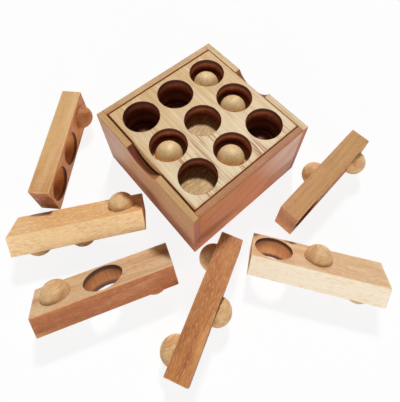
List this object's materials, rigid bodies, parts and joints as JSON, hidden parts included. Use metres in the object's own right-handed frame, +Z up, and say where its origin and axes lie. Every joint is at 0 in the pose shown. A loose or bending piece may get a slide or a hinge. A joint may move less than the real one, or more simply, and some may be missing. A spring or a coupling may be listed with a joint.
{
  "type": "wooden golf puzzle",
  "caption": "Square wooden puzzle box with a drilled lid over crossed layers of sticks that carry half balls and through-holes, with loose sticks of the same kind laid round it.",
  "frame": {"origin": "middle of the box's underside", "axes": "+Z up; X across the two side walls with the finger notches, from the left one to the right one; Y from the front end wall to the back one"},
  "size_m": [0.2574, 0.2742, 0.061],
  "materials": {
    "wall_wood": "light brown hardwood, thin satin lacquer",
    "front_wood": "reddish brown hardwood, thin satin lacquer",
    "lid_wood": "pale straight-grained hardwood, thin satin lacquer, scorched hole walls",
    "golden_wood": "golden brown hardwood, thin satin lacquer",
    "pale_wood": "pale hardwood, thin satin lacquer",
    "brown_wood": "brown streaked hardwood, thin satin lacquer",
    "ball_wood": "pale turned hardwood, sanded"
  },
  "bodies": {
    "box": {"base_board": "wall_wood", "cup_board": "golden_wood", "side_wall_left": "wall_wood", "side_wall_right": "wall_wood", "end_wall_front": "front_wood", "end_wall_back": "wall_wood"},
    "lid": {"lid": "lid_wood"},
    "boxed_stick_1": {"boxed_stick_1": "golden_wood", "boxed_stick_1_ball_3": "ball_wood"},
    "boxed_stick_2": {"boxed_stick_2": "golden_wood", "boxed_stick_2_ball_1": "ball_wood", "boxed_stick_2_ball_2": "ball_wood", "boxed_stick_2_ball_3": "ball_wood"},
    "boxed_stick_3": {"boxed_stick_3": "golden_wood", "boxed_stick_3_ball_1": "ball_wood", "boxed_stick_3_ball_3": "ball_wood"},
    "boxed_stick_4": {"boxed_stick_4": "golden_wood", "boxed_stick_4_ball_1": "ball_wood", "boxed_stick_4_ball_2": "ball_wood", "boxed_stick_4_ball_3": "ball_wood"},
    "boxed_stick_5": {"boxed_stick_5": "golden_wood", "boxed_stick_5_ball_1": "ball_wood", "boxed_stick_5_ball_2": "ball_wood"},
    "boxed_stick_6": {"boxed_stick_6": "golden_wood", "boxed_stick_6_ball_2": "ball_wood", "boxed_stick_6_ball_3": "ball_wood"},
    "loose_stick_1": {"loose_stick_1": "golden_wood", "loose_stick_1_ball_3": "ball_wood"},
    "loose_stick_2": {"loose_stick_2": "pale_wood", "loose_stick_2_ball_1": "ball_wood", "loose_stick_2_ball_2": "ball_wood", "loose_stick_2_ball_3": "ball_wood"},
    "loose_stick_3": {"loose_stick_3": "brown_wood", "loose_stick_3_ball_1": "ball_wood", "loose_stick_3_ball_3": "ball_wood"},
    "loose_stick_4": {"loose_stick_4": "brown_wood", "loose_stick_4_ball_1": "ball_wood", "loose_stick_4_ball_2": "ball_wood", "loose_stick_4_ball_3": "ball_wood"},
    "loose_stick_5": {"loose_stick_5": "pale_wood", "loose_stick_5_ball_2": "ball_wood", "loose_stick_5_ball_3": "ball_wood"},
    "loose_stick_6": {"loose_stick_6": "golden_wood", "loose_stick_6_ball_2": "ball_wood", "loose_stick_6_ball_3": "ball_wood"}
  },
  "joints": [
    {"name": "lid_lift", "type": "slide", "parent": "box", "child": "lid", "axis": [0, 0, 1], "range_m": [0, 0.25]},
    {"name": "boxed_stick_1_lift", "type": "slide", "parent": "box", "child": "boxed_stick_1", "axis": [0, 0, 1], "range_m": [0, 0.15]},
    {"name": "boxed_stick_2_lift", "type": "slide", "parent": "box", "child": "boxed_stick_2", "axis": [0, 0, 1], "range_m": [0, 0.075]},
    {"name": "boxed_stick_3_lift", "type": "slide", "parent": "box", "child": "boxed_stick_3", "axis": [0, 0, 1], "range_m": [0, 0.075]},
    {"name": "boxed_stick_4_lift", "type": "slide", "parent": "box", "child": "boxed_stick_4", "axis": [0, 0, 1], "range_m": [0, 0.15]},
    {"name": "boxed_stick_5_lift", "type": "slide", "parent": "box", "child": "boxed_stick_5", "axis": [0, 0, 1], "range_m": [0, 0.15]},
    {"name": "boxed_stick_6_lift", "type": "slide", "parent": "box", "child": "boxed_stick_6", "axis": [0, 0, 1], "range_m": [0, 0.075]},
    {"name": "loose_stick_1_lift", "type": "slide", "parent": "box", "child": "loose_stick_1", "axis": [0, 0, 1], "range_m": [0, 0.1]},
    {"name": "loose_stick_2_lift", "type": "slide", "parent": "box", "child": "loose_stick_2", "axis": [0, 0, 1], "range_m": [0, 0.1]},
    {"name": "loose_stick_3_lift", "type": "slide", "parent": "box", "child": "loose_stick_3", "axis": [0, 0, 1], "range_m": [0, 0.1]},
    {"name": "loose_stick_4_lift", "type": "slide", "parent": "box", "child": "loose_stick_4", "axis": [0, 0, 1], "range_m": [0, 0.1]},
    {"name": "loose_stick_5_lift", "type": "slide", "parent": "box", "child": "loose_stick_5", "axis": [0, 0, 1], "range_m": [0, 0.1]},
    {"name": "loose_stick_6_lift", "type": "slide", "parent": "box", "child": "loose_stick_6", "axis": [0, 0, 1], "range_m": [0, 0.1]}
  ],
  "couplings": [
    {"joint": "boxed_stick_1_lift", "follows": "lid_lift", "ratio": 0.6},
    {"joint": "boxed_stick_2_lift", "follows": "lid_lift", "ratio": 0.3},
    {"joint": "boxed_stick_3_lift", "follows": "lid_lift", "ratio": 0.3},
    {"joint": "boxed_stick_4_lift", "follows": "lid_lift", "ratio": 0.6},
    {"joint": "boxed_stick_5_lift", "follows": "lid_lift", "ratio": 0.6},
    {"joint": "boxed_stick_6_lift", "follows": "lid_lift", "ratio": 0.3}
  ]
}
